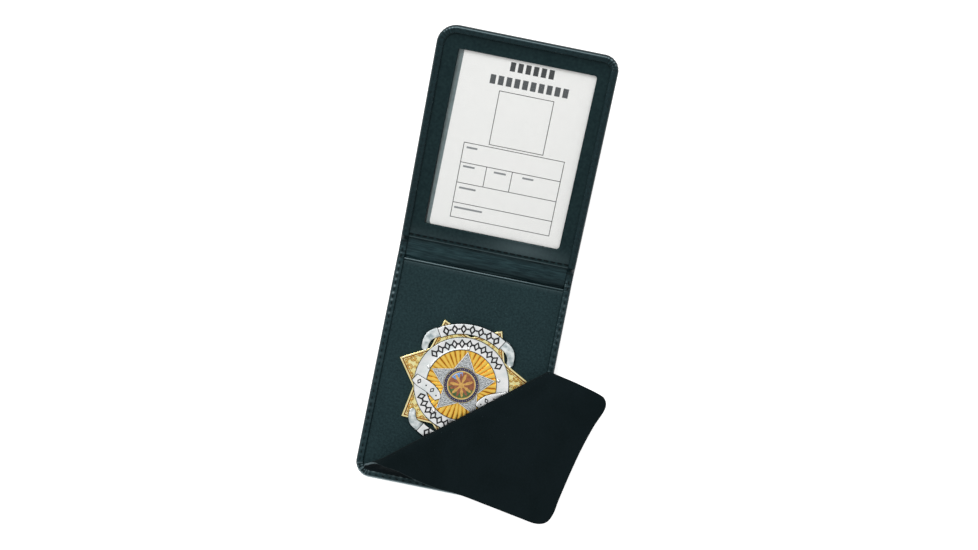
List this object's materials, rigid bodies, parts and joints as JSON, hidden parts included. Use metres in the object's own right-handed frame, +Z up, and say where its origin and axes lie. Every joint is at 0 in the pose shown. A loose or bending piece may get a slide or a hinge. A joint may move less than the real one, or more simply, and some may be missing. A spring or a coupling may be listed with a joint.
{
  "type": "identity badge wallet",
  "caption": "Folding leather wallet with a windowed card half, a spine, and a badge half holding a pinned star badge under a peeled-back protective flap.",
  "frame": {"origin": "middle of the badge half's underside, on the surface that the wallet lies on", "axes": "+X to the wallet's right, +Y from the badge half towards the card half, +Z up out of the open wallet"},
  "size_m": [0.109, 0.2165, 0.0422],
  "materials": {
    "cover_leather": "black grained leather with a soft shine",
    "panel_leather": "black leather with a fine grain",
    "spine_leather": "glossy black leather creased across",
    "flap_leather": "thin black leather",
    "flap_suede": "matt black brushed suede",
    "lining": "dark woven lining",
    "board": "grey-brown board",
    "thread": "black waxed thread",
    "gold_plate": "bright gold plate",
    "silver_plate": "bright silver plate",
    "enamel": "hard coloured enamel",
    "pin_steel": "plain steel",
    "card_stock": "white printed card",
    "sleeve_vinyl": "smoky sleeve",
    "clear_vinyl": "clear flexible vinyl"
  },
  "bodies": {
    "badge_half": {"lower_cover": "cover_leather", "lower_board": "board", "lower_lining": "lining", "lower_welt": "lining", "badge_panel": "panel_leather", "panel_hem": "panel_leather", "lower_edge_stitches": "thread", "flap_anchor": "flap_leather", "star_plate": "gold_plate", "sunburst_disc": "gold_plate", "ring_banner": "silver_plate", "inner_star": "silver_plate", "star_beads": "silver_plate", "seal_ring": "enamel", "enamel_disc": "enamel", "top_ribbon": "silver_plate", "bottom_ribbon": "silver_plate", "left_side_ribbon": "silver_plate", "right_side_ribbon": "silver_plate", "pin_joint": "pin_steel", "pin_stem": "pin_steel", "safety_catch": "pin_steel", "lower_fold": "cover_leather"},
    "spine": {"spine_cover": "cover_leather", "spine_lining": "spine_leather", "spine_stitches": "thread"},
    "card_half": {"upper_fold": "cover_leather", "upper_cover": "cover_leather", "upper_board": "board", "card_backing": "lining", "upper_welt": "lining", "card_sleeve": "sleeve_vinyl", "clear_window": "clear_vinyl", "window_frame": "panel_leather", "frame_stitches": "thread", "upper_edge_stitches": "thread"},
    "card": {"id_card": "card_stock"},
    "flap": {"flap_lower_leather": "flap_leather", "flap_lower_suede": "flap_suede", "flap_roll": "flap_leather"},
    "flap_corner": {"flap_upper_leather": "flap_leather", "flap_upper_suede": "flap_suede"}
  },
  "joints": [
    {"name": "spine_fold", "type": "hinge", "parent": "badge_half", "child": "spine", "pos_m": [0, 0.0493, 0.003], "axis": [1, 0, 0], "range_deg": [-10, 80], "deforming": ["lower_fold"]},
    {"name": "card_fold", "type": "hinge", "parent": "spine", "child": "card_half", "pos_m": [0, 0.06466, 0.00571], "axis": [1, 0, 0], "range_deg": [-10, 80], "deforming": ["upper_fold"]},
    {"name": "card_slide", "type": "slide", "parent": "card_half", "child": "card", "axis": [0, -0.9397, -0.342], "range_m": [-0.0004, 0.0044]},
    {"name": "flap_hinge", "type": "hinge", "parent": "badge_half", "child": "flap", "pos_m": [0, -0.0484, 0.00617], "axis": [1, 0, 0], "range_deg": [0, 150]},
    {"name": "flap_crease", "type": "hinge", "parent": "flap", "child": "flap_corner", "pos_m": [-0.03582, -0.04529, 0.0119], "axis": [-0.7771, -0.6293, 0], "range_deg": [0, 180], "deforming": ["flap_roll"]}
  ],
  "couplings": [
    {"joint": "card_fold", "follows": "spine_fold", "ratio": 1}
  ]
}
